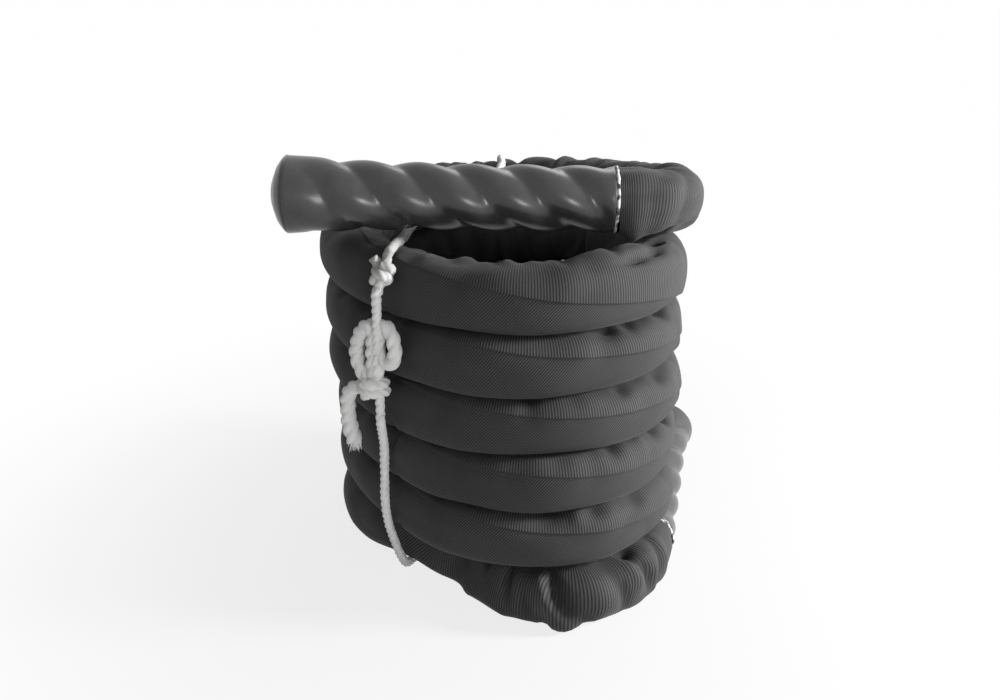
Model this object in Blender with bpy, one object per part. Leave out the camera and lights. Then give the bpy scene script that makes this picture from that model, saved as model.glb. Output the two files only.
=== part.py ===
"""A battle rope, coiled and tied, in metres with +Z up.

The rope is a three-strand rope inside a woven sleeve, with a heat-shrunk grip at each end.
It lies in turns that climb from the floor. The floor grip carries the coil on the right, the
top grip lies across the coil, and a cord ties all the turns together on the left.
"""

import math

import bmesh
import bpy
import numpy as np
from mathutils import Matrix, Vector

# The coil, whose turns are counted from the top turn's left side.
coil_radius = 0.147
coil_place_x = -0.0173
coil_place_y = -0.0007
turn_clearance = 0.0007
grip_tuck = 0.0023
rise_at_top = 0.0055
settle_per_turn = 0.0020
rise_over_tie = 0.0100
first_turn = -10 / 24
last_turn = 5.0
floor_turn = 5.0
points_per_turn = 24
wide_share, wide_step_share = -0.0204, -0.0136
slant_share, slant_step_share = -0.119, -0.0170
middle_turn_share = 0.5
foot_share = 0.45
# The top turn is highest where the tie and the grip cross it, and the turns settle on the right.
high_turn, high_turn_reach, settled_turn = 0.04, 0.46, 2.583

# The sleeve, and the rope inside it.
sleeve_diameter = 0.0566
sleeve_wall = 0.0022
core_clearance = 0.00095
coil_sides = 6
tail_sides = 8
# A faceted tube is wider at its corners than the round one, so that it holds as much.
coil_corner_share = 1.08
tail_corner_share = 1.04
end_clearance = 0.0006
tail_step_share = 0.5
bend_step_share = 0.6

# The grips.
grip_diameter = 0.0586
grip_lobe_depth = 0.0028
grip_wall = 0.0022
grip_lay = 0.141
grip_sides = 24
grip_stations_per_lay = 14
top_grip_length = 0.2915
floor_grip_length = 0.246
grip_core_clearance = 0.0004
cap_rim_diameter = 0.069
cap_depth = 0.0160
flare_start_share = 0.40
# Along and across, as shares of the cap's depth and of its rim's radius.
cap_shares = [(0.0, 0.985), (0.10, 1.0), (0.22, 0.955), (0.40, 0.85), (0.60, 0.71), (0.80, 0.53), (0.94, 0.31)]
glue_width = 0.0055
glue_height = 0.0012
piece_clearance = 0.0004
knot_clearance = 0.0007
round_sides = 24

# Where the grips lie, on plan, as shares of the coil's radius.
top_cuff_x = coil_radius * 0.7075
top_grip_y = coil_radius * -0.5238
cuff_of_floor_grip_x = coil_radius * 1.0102
cuff_of_floor_grip_y = coil_radius * -0.5306
floor_grip_heading = math.radians(13.06)
grip_crossing_turn = 0.09
top_hinge_x = coil_radius * 0.9320
top_hinge_y = coil_radius * -0.4082
floor_hinge_x = coil_radius * 0.9728
floor_hinge_y = coil_radius * -0.6803

# The tie.
tie_diameter = 0.0084
tie_clearance = 0.0004
tie_floor_clearance = 0.0003
tie_end_clearance = 0.0008
tie_turn_share = 0.135
tie_top_turn_share = 0.151
tie_back_x = -0.007
tie_hump_width = 0.050
wrap_pitch = 0.0090
wrap_points = 12
knot_wraps = 2.0
lower_knot_wraps = 2.5
knot_lean_degrees = 27.0
lower_knot_height = 0.222
cord_step_share = 1.1
loop_step_share = 2.2
tie_corner_share = 1.14
tie_over_share = 0.06
under_grip_share = 0.70
bow_height = 0.062
right_bow_share = 0.84
frayed_length = 0.058
fray_share = 0.7
seat_reach_share = 0.7
cut_end_length = 0.014
# Across, up and outwards, as shares of the loop's height or the end's length.
bow_shares = [
    (0.165, 0.0, 0.0),
    (0.185, 0.30, 0.0),
    (0.190, 0.70, 0.0),
    (0.300, 0.98, 0.0),
    (0.480, 0.92, 0.0),
    (0.560, 0.62, 0.0),
    (0.500, 0.28, 0.0),
    (0.345, 0.0, 0.0),
]
frayed_shares = [
    (0.0, 0.0, 0.0),
    (0.12, 0.0, 0.0),
    (0.26, -0.06, 0.0),
    (0.36, -0.22, 0.0),
    (0.38, -0.50, 0.0),
    (0.34, -0.80, 0.0),
    (0.28, -1.00, 0.0),
]
cut_end_shares = [(0.0, 0.0, 0.0), (0.35, 0.0, 0.0), (0.80, 0.12, 0.05), (1.15, 0.35, 0.1)]

# Hand-chosen points of the free stretches, from the coil's axis, as shares of its radius.
bend_route_shares = [(0.946, -0.466), (1.048, -0.333), (1.092, -0.177)]
tail_route_shares = [
    (-0.782, -0.299),
    (-0.660, -0.408),
    (-0.503, -0.497),
    (-0.367, -0.571),
    (-0.218, -0.670),
    (-0.054, -0.782),
    (0.109, -0.946),
    (0.272, -1.082),
    (0.449, -1.136),
    (0.633, -1.075),
]
floor_bend_route_shares = [(0.789, -0.946), (0.905, -0.782)]


def clear_scene():
    for thing in list(bpy.data.objects):
        bpy.data.objects.remove(thing, do_unlink=True)


def material(name, colour, roughness, metallic=0.0):
    made = bpy.data.materials.new(name)
    made.use_nodes = True
    shader = made.node_tree.nodes["Principled BSDF"]
    shader.inputs["Base Color"].default_value = (*colour, 1.0)
    shader.inputs["Roughness"].default_value = roughness
    shader.inputs["Metallic"].default_value = metallic
    made.diffuse_color = (*colour, 1.0)
    return made


def add_object(name, data, made_of, parent, smooth_angle=math.radians(40)):
    thing = bpy.data.objects.new(name, data)
    bpy.context.scene.collection.objects.link(thing)
    data.materials.append(made_of)
    if isinstance(data, bpy.types.Mesh):
        data.shade_smooth()
        data.set_sharp_from_angle(angle=smooth_angle)
    thing.parent = parent
    thing.matrix_parent_inverse = Matrix.Identity(4)
    if parent:
        thing.location = -parent["home"][0], -parent["home"][1], -parent["home"][2]
    return thing


def joint_empty(name, place):
    """An empty on a joint's axis. Its children are modelled in the coil's own frame."""
    thing = bpy.data.objects.new(name, None)
    bpy.context.scene.collection.objects.link(thing)
    thing.empty_display_size = sleeve_diameter
    thing.location = place[0] + coil_place_x, place[1] + coil_place_y, place[2]
    thing["home"] = tuple(place)
    return thing


def on_plan(shares):
    return [(x * coil_radius, y * coil_radius) for x, y in shares]


bend_route = on_plan(bend_route_shares)
tail_route = on_plan(tail_route_shares)
floor_bend_route = on_plan(floor_bend_route_shares)

# A faceted tube lies on one of its flat sides.
coil_flat = sleeve_diameter / 2 * coil_corner_share * math.cos(math.pi / coil_sides)
tail_flat = sleeve_diameter / 2 * tail_corner_share * math.cos(math.pi / tail_sides)

# The floor grip lifts the right side of the lowest turn, which tucks in a little beside it.
grip_height = grip_diameter + 2 * glue_height
half_pitch = (sleeve_diameter + turn_clearance) / 2
rise_over_grip = (grip_height + coil_flat - grip_tuck - half_pitch - sleeve_diameter / 2) / 2


# The coil's centre line.


def oval_radius(turn):
    middle = middle_turn_share * floor_turn
    away = turn - middle
    twice = 4 * math.pi * turn
    wide = (wide_share + wide_step_share * away) * math.cos(twice)
    slant = (slant_share + slant_step_share * away) * math.sin(twice)
    return coil_radius * (1 + wide + slant)


def coil_point(turn):
    angle = 2 * math.pi * turn
    radius = oval_radius(turn)
    pitch = sleeve_diameter + turn_clearance
    height = sleeve_diameter / 2 + pitch * (floor_turn - turn)
    height += rise_over_grip * (1 - math.cos(angle))
    from_high = min(abs(turn - high_turn) / high_turn_reach, 1.0)
    height += rise_at_top * (1 + math.cos(math.pi * from_high)) / 2
    height -= settle_per_turn * max(settled_turn - turn, 0.0) * (1 - math.cos(angle)) / 2
    # The lowest turns lie closer on the left, over the tie and the tail.
    if turn < floor_turn - 0.5:
        lower = min(max(turn / (floor_turn - 1), 0.0), 1.0)
        height += rise_over_tie * lower * (1 + math.cos(angle)) / 2
    else:
        # The last half turn settles until its flat side is on the floor.
        settled = (turn - floor_turn + 0.5) / (last_turn - floor_turn + 0.5)
        last_angle = 2 * math.pi * last_turn
        last_height = sleeve_diameter / 2 + pitch * (floor_turn - last_turn)
        last_height += rise_over_grip * (1 - math.cos(last_angle))
        height += (coil_flat - last_height) * settled * settled
    return Vector((-radius * math.cos(angle), -radius * math.sin(angle), height))


def coil_points():
    """The turns, with a straight run at each end."""
    count = round((last_turn - first_turn) * points_per_turn)
    turns = [first_turn + i / points_per_turn for i in range(count + 1)]
    points = [coil_point(turn) for turn in turns]
    head = (points[0] - points[1]).normalized() * sleeve_diameter
    foot = coil_point(last_turn + 1 / points_per_turn) - points[-1]
    foot.z = 0
    return [points[0] + head, *points, points[-1] + foot.normalized() * sleeve_diameter * foot_share]


def report_least_gap(points, corner_radius):
    """Prints the coil's least gap to itself, measured on the rings of its surface."""
    middle = np.array([tuple(p) for p in points])
    rings = np.array([[tuple(p) for p in ring] for ring in rings_along(points, corner_radius, coil_sides)])
    least = 1e9
    apart = points_per_turn // 2
    for i in range(len(rings) - apart):
        others = rings[i + apart:].reshape(-1, 3)
        near = np.linalg.norm(others - middle[i], axis=1) < 2 * sleeve_diameter
        if near.any():
            step = rings[i][:, None] - others[near][None]
            least = min(least, np.linalg.norm(step, axis=2).min())
    print(f"least gap between the points of two turns: {least * 1000:.2f} mm")


# Sweeps.


def rings_along(points, radius, sides, start_face=None, end_face=None):
    """A ring of corners at each point, upright, square to the way. A side faces down."""
    rings = []
    for i, point in enumerate(points):
        before, after = points[max(i - 1, 0)], points[min(i + 1, len(points) - 1)]
        ahead = (after - before).normalized()
        if i == 0 and start_face:
            ahead = start_face
        if i == len(points) - 1 and end_face:
            ahead = end_face
        side = ahead.cross(Vector((0, 0, 1))).normalized()
        up = side.cross(ahead)
        first = math.pi / sides if sides % 4 == 0 else 0.0
        ring = []
        for corner in range(sides):
            angle = first + 2 * math.pi * corner / sides
            ring.append(point + radius * (math.cos(angle) * side + math.sin(angle) * up))
        rings.append(ring)
    return rings


def bridge(work, rings, closed_sides=True):
    """Joins each ring to the next with faces."""
    made = [[work.verts.new(corner) for corner in ring] for ring in rings]
    for near, far in zip(made, made[1:]):
        for i in range(len(near)):
            j = (i + 1) % len(near)
            work.faces.new((near[i], near[j], far[j], far[i]))
    return made


def mesh_of(name, work):
    bmesh.ops.recalc_face_normals(work, faces=work.faces)
    mesh = bpy.data.meshes.new(name)
    work.to_mesh(mesh)
    work.free()
    return mesh


def swept_rod(name, rings):
    work = bmesh.new()
    made = bridge(work, rings)
    work.faces.new(made[0])
    work.faces.new(made[-1])
    return mesh_of(name, work)


def swept_tube(name, outer, inner):
    work = bmesh.new()
    outside = bridge(work, outer)
    inside = bridge(work, inner)
    for end in (0, -1):
        count = len(outside[end])
        for i in range(count):
            j = (i + 1) % count
            work.faces.new((outside[end][i], outside[end][j], inside[end][j], inside[end][i]))
    return mesh_of(name, work)


def smooth_way(points, step):
    """Points at an even step along a smooth curve through the given points."""
    ends = [2 * points[0] - points[1], *points, 2 * points[-1] - points[-2]]
    fine = []
    for before, start, stop, after in zip(ends, ends[1:], ends[2:], ends[3:]):
        for i in range(24):
            u = i / 24
            bent = 2 * start + (stop - before) * u
            bent += (2 * before - 5 * start + 4 * stop - after) * u * u
            bent += (3 * start - before - 3 * stop + after) * u ** 3
            fine.append(bent / 2)
    fine.append(points[-1])
    run = [0.0]
    for a, b in zip(fine, fine[1:]):
        run.append(run[-1] + (b - a).length)
    count = max(2, round(run[-1] / step))
    way, k = [], 0
    for i in range(count + 1):
        want = run[-1] * i / count
        while k < len(run) - 2 and run[k + 1] < want:
            k += 1
        part = (want - run[k]) / max(run[k + 1] - run[k], 1e-12)
        way.append(fine[k].lerp(fine[k + 1], min(max(part, 0.0), 1.0)))
    return way


def cut_back(points, start, stop):
    """Moves the two ends of a way in along it, to leave a clearance to what they meet."""
    points = list(points)
    points[0] = points[0] + (points[1] - points[0]).normalized() * start
    points[-1] = points[-1] + (points[-2] - points[-1]).normalized() * stop
    return points


def sleeve_and_core(name, points, sides, corner_share, fabric, rope, parent, faces=(None, None)):
    """The sleeve and the rope in it. The faces are the ways that its two ends look along."""
    outer = sleeve_diameter / 2 * corner_share
    wall = sleeve_wall / math.cos(math.pi / sides)
    inner = outer - wall
    core = inner - core_clearance / math.cos(math.pi / sides)
    sleeve = swept_tube(
        name + "_sleeve",
        rings_along(points, outer, sides, *faces),
        rings_along(points, inner, sides, *faces),
    )
    inside = swept_rod(name + "_core", rings_along(points, core, sides, *faces))
    return (
        add_object(name + "_sleeve", sleeve, fabric, parent, math.radians(70)),
        add_object(name + "_core", inside, rope, parent, math.radians(70)),
    )


# Round pieces, turned about their own +X.


def turned(name, profile, sides=round_sides, solid=True):
    """Turns points (along, radius) about +X. A solid profile starts and ends on the axis."""
    work = bmesh.new()
    rings = []
    for along, radius in profile:
        if radius == 0:
            rings.append([work.verts.new((along, 0, 0))])
            continue
        ring = []
        for i in range(sides):
            angle = 2 * math.pi * i / sides
            ring.append(work.verts.new((along, radius * math.cos(angle), radius * math.sin(angle))))
        rings.append(ring)
    pairs = list(zip(rings, rings[1:]))
    if not solid:
        pairs.append((rings[-1], rings[0]))
    for near, far in pairs:
        for i in range(sides):
            j = (i + 1) % sides
            face = []
            for corner in (near[i % len(near)], near[j % len(near)], far[j % len(far)], far[i % len(far)]):
                if corner not in face:
                    face.append(corner)
            work.faces.new(face)
    return mesh_of(name, work)


def lay_along(mesh, start, direction):
    """Puts a mesh that runs along +X from its own origin where a grip runs."""
    side = Vector((0, 0, 1)).cross(direction).normalized()
    up = direction.cross(side)
    turn = Matrix((direction, side, up)).transposed().to_4x4()
    mesh.transform(Matrix.Translation(start) @ turn)
    return mesh


def grip_flare(share):
    """How much thicker a grip is at a share of its length, up to the rim of its cap."""
    past = max((share - flare_start_share) / (1 - flare_start_share), 0.0)
    return (cap_rim_diameter - grip_diameter) / 2 * past * past


def grip_shell(name, length):
    """The tube that has shrunk onto three strands, so it is lobed and turns with their lay."""
    crest = grip_diameter / 2
    middle = crest - grip_lobe_depth / 2
    bore = crest - grip_lobe_depth - grip_wall
    count = max(2, round(length / grip_lay * grip_stations_per_lay))
    outer, inner = [], []
    for i in range(count + 1):
        along = length * i / count
        twist = 2 * math.pi * along / grip_lay
        ring, hole = [], []
        for corner in range(grip_sides):
            angle = 2 * math.pi * corner / grip_sides
            lobe = math.cos(3 * (angle - twist))
            fading = 1 - grip_flare(i / count) / grip_flare(1.0)
            radius = middle + grip_flare(i / count) + grip_lobe_depth / 2 * (1 - fading + lobe * fading)
            ring.append(Vector((along, radius * math.cos(angle), radius * math.sin(angle))))
            hole.append(Vector((along, bore * math.cos(angle), bore * math.sin(angle))))
        outer.append(ring)
        inner.append(hole)
    return swept_tube(name, outer, inner)


def build_grip(prefix, cuff, direction, length, parent, rubber, rope, glue, cap_rubber):
    """A grip from its cuff outwards: glue band, lobed shell, the rope's end and the end cap."""
    crest = grip_diameter / 2
    bore = crest - grip_lobe_depth - grip_wall
    core = bore - grip_core_clearance
    shell_start = glue_width + piece_clearance
    shell = grip_shell(prefix + "_grip", length - shell_start)
    lay_along(shell, cuff + direction * shell_start, direction)
    add_object(prefix + "_grip", shell, rubber, parent)

    # The bead of glue that squeezes out where the tube ends.
    low, high = core + piece_clearance, crest + glue_height
    band = [
        (end_clearance, low),
        (end_clearance, high - glue_height),
        (end_clearance + glue_height, high),
        (glue_width - glue_height, high - glue_height / 2),
        (glue_width, high - 2 * glue_height),
        (glue_width, low),
    ]
    ring = turned(prefix + "_glue_band", band, solid=False)
    lay_along(ring, cuff, direction)
    add_object(prefix + "_glue_band", ring, glue, parent)

    # The rope's own end, from the cuff to the bottom of the cap.
    rod = [(end_clearance, 0), (end_clearance, core), (length, core), (length, 0)]
    inside = turned(prefix + "_grip_core", rod)
    lay_along(inside, cuff, direction)
    add_object(prefix + "_grip_core", inside, rope, parent)

    # The cap closes the tube's flared mouth with a low dome.
    rim = cap_rim_diameter / 2
    face = length + piece_clearance
    cap = [(face, 0)]
    cap += [(face + cap_depth * along, rim * across) for along, across in cap_shares]
    cap.append((face + cap_depth, 0))
    closed = turned(prefix + "_end_cap", cap)
    lay_along(closed, cuff, direction)
    add_object(prefix + "_end_cap", closed, cap_rubber, parent)


# The tie.


def cord(name, points, made_of, parent, diameter=tie_diameter, resolution=2, radii=None):
    curve = bpy.data.curves.new(name, "CURVE")
    curve.dimensions = "3D"
    curve.bevel_depth = diameter / 2
    curve.bevel_resolution = resolution
    curve.use_fill_caps = True
    line = curve.splines.new("POLY")
    line.points.add(len(points) - 1)
    for i, point in enumerate(points):
        line.points[i].co = (*point, 1.0)
        line.points[i].radius = radii[i] if radii else 1.0
    return add_object(name, curve, made_of, parent)


def wrap_points_round(middle, axis, inner_radius, wraps):
    """Turns of the tie round one of its own runs, as a knot draws them up."""
    axis = axis.normalized()
    side = axis.cross(Vector((0, 1, 0))).normalized()
    front = side.cross(axis)
    radius = inner_radius + tie_diameter / 2
    count = round(wraps * wrap_points)
    points = []
    for i in range(count + 1):
        angle = 2 * math.pi * i / wrap_points
        along = wrap_pitch * (i / wrap_points - wraps / 2)
        points.append(middle + axis * along + radius * (math.cos(angle) * side + math.sin(angle) * front))
    return points


def outward(point):
    return Vector((point.x, point.y, 0)).normalized()


clear_scene()
fabric = material("sleeve_fabric", (0.022, 0.022, 0.024), 0.85)
rope = material("rope_strands", (0.055, 0.052, 0.048), 0.9)
rubber = material("grip_tube", (0.018, 0.018, 0.019), 0.35)
cap_rubber = material("end_cap", (0.014, 0.014, 0.015), 0.4)
glue = material("glue", (0.62, 0.61, 0.58), 0.5)
cord_white = material("tie_cord", (0.78, 0.78, 0.76), 0.8)

coil_home = joint_empty("coil_axis", (0.0, 0.0, 0.0))

# The coil.
points = coil_points()
report_least_gap(points, sleeve_diameter / 2 * coil_corner_share)
sleeve_and_core("coil", points, coil_sides, coil_corner_share, fabric, rope, coil_home)

# The top grip rests on the tie's cord where it crosses the top turn.
crossing = coil_point(grip_crossing_turn)
tie_over_coil = crossing.z + coil_flat + tie_clearance + tie_diameter / 2
crossing_share = (top_cuff_x - crossing.x) / top_grip_length
grip_at_crossing = grip_diameter / 2 + grip_flare(crossing_share)
top_grip_height = tie_over_coil + tie_diameter / 2 + piece_clearance + grip_at_crossing
top_cuff = Vector((top_cuff_x, top_grip_y, top_grip_height))
top_home = joint_empty("top_hinge", (top_hinge_x, top_hinge_y, top_grip_height))
build_grip("top", top_cuff, Vector((-1, 0, 0)), top_grip_length, top_home, rubber, rope, glue, cap_rubber)

# The bend from the top grip round into the coil.
coil_start = points[0]
into_coil = (points[1] - points[0]).normalized()
way = [top_cuff, top_cuff + Vector((sleeve_diameter * 0.36, sleeve_diameter * 0.015, 0))]
for i, (x, y) in enumerate(bend_route):
    part = (i + 1) / (len(bend_route) + 1)
    way.append(Vector((x, y, top_grip_height + (coil_start.z - top_grip_height) * part)))
way += [coil_start - into_coil * sleeve_diameter * 0.3, coil_start]
bend = cut_back(smooth_way(way, sleeve_diameter * tail_step_share * bend_step_share), 0.0, end_clearance)
bend_faces = Vector((1, 0, 0)), into_coil
sleeve_and_core("top_bend", bend, tail_sides, tail_corner_share, fabric, rope, coil_home, bend_faces)

# The floor grip, on the floor and under the coil's right side.
heading = Vector((math.sin(floor_grip_heading), math.cos(floor_grip_heading), 0))
floor_cuff = Vector((cuff_of_floor_grip_x, cuff_of_floor_grip_y, grip_diameter / 2 + glue_height))
floor_home = joint_empty("floor_hinge", (floor_hinge_x, floor_hinge_y, grip_diameter / 2))
rise = (cap_rim_diameter / 2 - floor_cuff.z) / floor_grip_length
heading = Vector((heading.x, heading.y, rise)).normalized()
build_grip("floor", floor_cuff, heading, floor_grip_length, floor_home, rubber, rope, glue, cap_rubber)

# The tail runs over the floor, with a rise where it crosses the tie.
coil_end = points[-1]
tie_out = outward(coil_point(tie_top_turn_share))
tie_reach = sleeve_diameter / 2 * coil_corner_share + tie_clearance + tie_diameter / 2
low_turn = coil_point(4 + tie_turn_share)
front_low = low_turn + outward(low_turn) * tie_reach
back_low = coil_point(4.75)
floor_back = Vector((tie_back_x, back_low.y, 0))
floor_front = Vector((front_low.x, front_low.y, 0))
under = (floor_front - floor_back).normalized()
over_tie = tie_diameter + 4 * tie_clearance
tail_way = [Vector((coil_end.x, coil_end.y, tail_flat))]
tail_way += [Vector((x, y, tail_flat)) for x, y in tail_route]
split = Vector((*floor_bend_route[0], tail_flat))
tail_way.append(split)


def smooth_step(value):
    value = min(max(value, 0.0), 1.0)
    return value * value * (3 - 2 * value)


def over_the_tie(point):
    """The tail rises where it crosses the tie on the floor."""
    aside = (point - floor_back).cross(under)
    far = smooth_step((abs(aside.z) - tie_hump_width * 0.3) / (tie_hump_width * 0.7))
    return over_tie * (1 - far) if point.x < 0 else 0.0


out_of_coil = (points[-1] - points[-2]).normalized()
past_split = Vector((*floor_bend_route[1], tail_flat))
at_split = (past_split - tail_way[-2]).normalized()
tail = smooth_way(tail_way, sleeve_diameter * tail_step_share)
for i, point in enumerate(tail):
    point.z += over_the_tie(point)
tail = cut_back(tail, end_clearance, end_clearance / 2)
tail_faces = out_of_coil, at_split
sleeve_and_core("tail", tail, tail_sides, tail_corner_share, fabric, rope, coil_home, tail_faces)

flat_heading = Vector((heading.x, heading.y, 0)).normalized()
floor_way = [Vector((*tail_route[-1], tail_flat)), split]
floor_way += [Vector((x, y, tail_flat)) for x, y in floor_bend_route[1:]]
floor_way += [floor_cuff - flat_heading * sleeve_diameter * 0.2, floor_cuff]
curve_in = smooth_way(floor_way, sleeve_diameter * tail_step_share * bend_step_share)
start = min(range(len(curve_in)), key=lambda i: (curve_in[i] - split).length)
last_bend = [split, *curve_in[start + 1:]]
for point in last_bend:
    point.z = max(point.z, tail_flat)
last_bend = cut_back(last_bend, end_clearance / 2, 0.0)
bend_faces = at_split, heading
sleeve_and_core("floor_bend", last_bend, tail_sides, tail_corner_share, fabric, rope, coil_home, bend_faces)

# The tie goes over the top turn, under the grip, down the back, under the coil and up the front.
top_turn = coil_point(tie_top_turn_share)
over_turn = coil_point(tie_turn_share)
front_top = top_turn + tie_out * tie_reach
up = Vector((0, 0, 1))
left = tie_out.cross(up)
knot_core = tie_diameter / 2 + knot_clearance
knot_outer = knot_core + tie_diameter
knot_lean = math.radians(knot_lean_degrees)
lean_out = tie_out * math.cos(knot_lean) + up * math.sin(knot_lean)
lean_up = up * math.cos(knot_lean) - tie_out * math.sin(knot_lean)
upper_knot = top_turn + lean_out * (coil_flat + tie_clearance + knot_outer)
half_knot = (knot_wraps * wrap_pitch + tie_diameter) / 2
upper_end = upper_knot + lean_up * (half_knot + knot_core)

fall = (front_low - front_top) / (front_top.z - front_low.z)
low_start = front_top + fall * (front_top.z - lower_knot_height)
knot_stand = knot_outer - tie_diameter / 2
lower_knot = low_start + tie_out * knot_stand
half_lower = (lower_knot_wraps * wrap_pitch + tie_diameter) / 2
lower_end = lower_knot - up * (half_lower + knot_core)

run_way = [
    lower_end,
    lower_knot,
    lower_knot + up * half_lower * 1.1,
    upper_knot - lean_up * half_knot * 1.6,
]
run = smooth_way(run_way, tie_diameter * cord_step_share)
run += [upper_knot - lean_up * half_knot * 1.1, upper_end]
cord("tie_front_run", run, cord_white, coil_home)
cord("tie_upper_knot", wrap_points_round(upper_knot, lean_up, knot_core, knot_wraps), cord_white, coil_home)
lower_wraps = wrap_points_round(lower_knot, up, knot_core, lower_knot_wraps)
cord("tie_lower_knot", lower_wraps, cord_white, coil_home)

back = coil_point(-0.25)
cord_lift = coil_flat + tie_clearance + tie_diameter / 2
corner_lift = cord_lift * math.sqrt(0.5) * tie_corner_share
back_reach = tie_reach + 4 * tie_clearance
floor_height = tie_diameter / 2 + tie_floor_clearance
tail_side = tail_flat + tie_clearance + tie_diameter
loop_way = [
    upper_end + lean_up * tie_end_clearance,
    upper_end + lean_up * tie_diameter * 0.6,
    Vector((over_turn.x, over_turn.y, tie_over_coil + sleeve_diameter * tie_over_share)),
    Vector((crossing.x * under_grip_share, top_grip_y, tie_over_coil)),
    Vector((crossing.x * under_grip_share * 0.6, 0, tie_over_coil + tie_diameter * 0.6)),
    Vector((tie_back_x, back.y - cord_lift * 0.7, back.z + cord_lift * 1.02)),
    Vector((tie_back_x, back.y, back.z + cord_lift * (1 + tie_over_share))),
    Vector((tie_back_x, back.y + corner_lift, back.z + corner_lift)),
    Vector((tie_back_x, back.y + back_reach, back.z - sleeve_diameter * 0.2)),
    Vector((tie_back_x, back_low.y + back_reach, back_low.z + sleeve_diameter)),
    Vector((tie_back_x, back_low.y + back_reach, back_low.z)),
    Vector((tie_back_x, back_low.y + back_reach * 0.7, back_low.z * 0.25)),
    floor_back + up * floor_height,
    floor_back.lerp(floor_front, 0.4) + up * floor_height,
]
tail_cross = min(tail, key=lambda p: (p - floor_back).cross(under).length if p.x < 0 else 1e3)
cross_near = Vector((tail_cross.x, tail_cross.y, 0))
loop_way += [
    cross_near - under * tie_diameter + up * floor_height,
    cross_near + under * tail_side * 0.55 + up * floor_height,
    cross_near + under * (tail_side + tie_diameter * 0.4) + up * (tail_cross.z * 0.6),
    front_low - up * sleeve_diameter * 0.1,
    front_low + (low_start - front_low) * 0.5,
    lower_end - up * tie_diameter * 1.2,
    lower_end - up * tie_end_clearance,
]
loop = smooth_way(loop_way, tie_diameter * loop_step_share)
for point in loop:
    point.z = max(point.z, floor_height)
loop.insert(1, loop[0] + lean_up * tie_diameter * 0.5)
loop.insert(-1, loop[-1] - up * tie_diameter * 0.5)
cord("tie_loop", loop, cord_white, coil_home)

# The bow stands up from the lower knot, and its ends hang from it.
def seat_on_knot(foot):
    """Drops a foot onto the turns of the lower knot that are under it."""
    reach = tie_diameter * seat_reach_share
    under_foot = [p.z for p in lower_wraps if (Vector((p.x, p.y, foot.z)) - foot).length < reach]
    foot.z = max(under_foot) + tie_diameter / 2 + piece_clearance
    return foot


def beside(start, shape, size, hand, along=up):
    return [start + left * hand * across * size + along * rise * size + tie_out * out * size for across, rise, out in shape]


# The bows lean as the run between the knots does.
between = upper_knot - lower_knot
run_up = (up * between.z + left * between.dot(left)).normalized()
left_size, right_size = bow_height, bow_height * right_bow_share
left_foot_aside = left * bow_shares[0][0] * left_size
right_foot_aside = -left * bow_shares[0][0] * right_size
left_foot = seat_on_knot(lower_knot + left_foot_aside) - left_foot_aside
right_foot = seat_on_knot(lower_knot + right_foot_aside) - right_foot_aside
left_bow = smooth_way(beside(left_foot, bow_shares, left_size, 1.0, run_up), tie_diameter * cord_step_share)
cord("tie_left_bow", left_bow, cord_white, coil_home)
right_bow = smooth_way(beside(right_foot, bow_shares, right_size, -1.0, run_up), tie_diameter * cord_step_share)
cord("tie_right_bow", right_bow, cord_white, coil_home)
aside = lower_knot + left * (knot_outer + piece_clearance)
frayed = smooth_way(beside(aside, frayed_shares, frayed_length, 1.0), tie_diameter * cord_step_share)
spread = [1 + fray_share * (i / (len(frayed) - 1)) ** 4 for i in range(len(frayed))]
cord("tie_frayed_end", frayed, cord_white, coil_home, radii=spread)
near_upper = upper_knot + left * (knot_outer + piece_clearance)
stub = smooth_way(beside(near_upper, cut_end_shares, cut_end_length, 1.0), tie_diameter)
cord("tie_cut_end", stub, cord_white, coil_home)


def print_frame():
    bpy.context.view_layer.update()
    graph = bpy.context.evaluated_depsgraph_get()
    low, high = Vector((1e9,) * 3), Vector((-1e9,) * 3)
    for thing in bpy.context.scene.objects:
        if thing.type == "EMPTY":
            print(thing.name, "at", [round(v, 5) for v in thing.matrix_world.translation])
            continue
        solid = thing.evaluated_get(graph)
        mesh = solid.to_mesh()
        for vertex in mesh.vertices:
            place = solid.matrix_world @ vertex.co
            low = Vector(map(min, low, place))
            high = Vector(map(max, high, place))
        solid.to_mesh_clear()
    print("box", [round(v, 4) for v in low], [round(v, 4) for v in high])
    foot = (points[-1] + points[-2]) / 2
    print("mount at", round(foot.x + coil_place_x, 5), round(foot.y + coil_place_y, 5), 0.0)


print_frame()
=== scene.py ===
import math

import bpy
import numpy as np
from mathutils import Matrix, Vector


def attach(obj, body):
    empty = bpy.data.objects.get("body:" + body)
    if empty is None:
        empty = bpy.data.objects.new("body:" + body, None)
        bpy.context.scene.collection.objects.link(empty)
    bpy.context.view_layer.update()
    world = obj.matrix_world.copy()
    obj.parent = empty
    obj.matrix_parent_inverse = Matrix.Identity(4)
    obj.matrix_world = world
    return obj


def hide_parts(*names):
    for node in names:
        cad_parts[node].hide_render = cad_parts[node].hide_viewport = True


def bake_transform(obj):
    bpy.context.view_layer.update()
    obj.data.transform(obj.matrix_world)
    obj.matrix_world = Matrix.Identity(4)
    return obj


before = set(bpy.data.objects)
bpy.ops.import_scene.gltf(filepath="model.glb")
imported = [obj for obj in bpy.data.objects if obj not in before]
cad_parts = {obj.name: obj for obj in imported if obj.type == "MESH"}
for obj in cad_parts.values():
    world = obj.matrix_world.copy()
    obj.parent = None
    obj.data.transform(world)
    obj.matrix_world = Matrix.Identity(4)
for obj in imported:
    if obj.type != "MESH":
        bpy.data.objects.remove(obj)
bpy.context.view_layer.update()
print("frame loaded")


# The camera stands where the photograph was taken from.
cameraSet = {"place": (-0.0173, -0.9425, 0.5951), "downDegrees": 22.39, "lens": 35.62}

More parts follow.
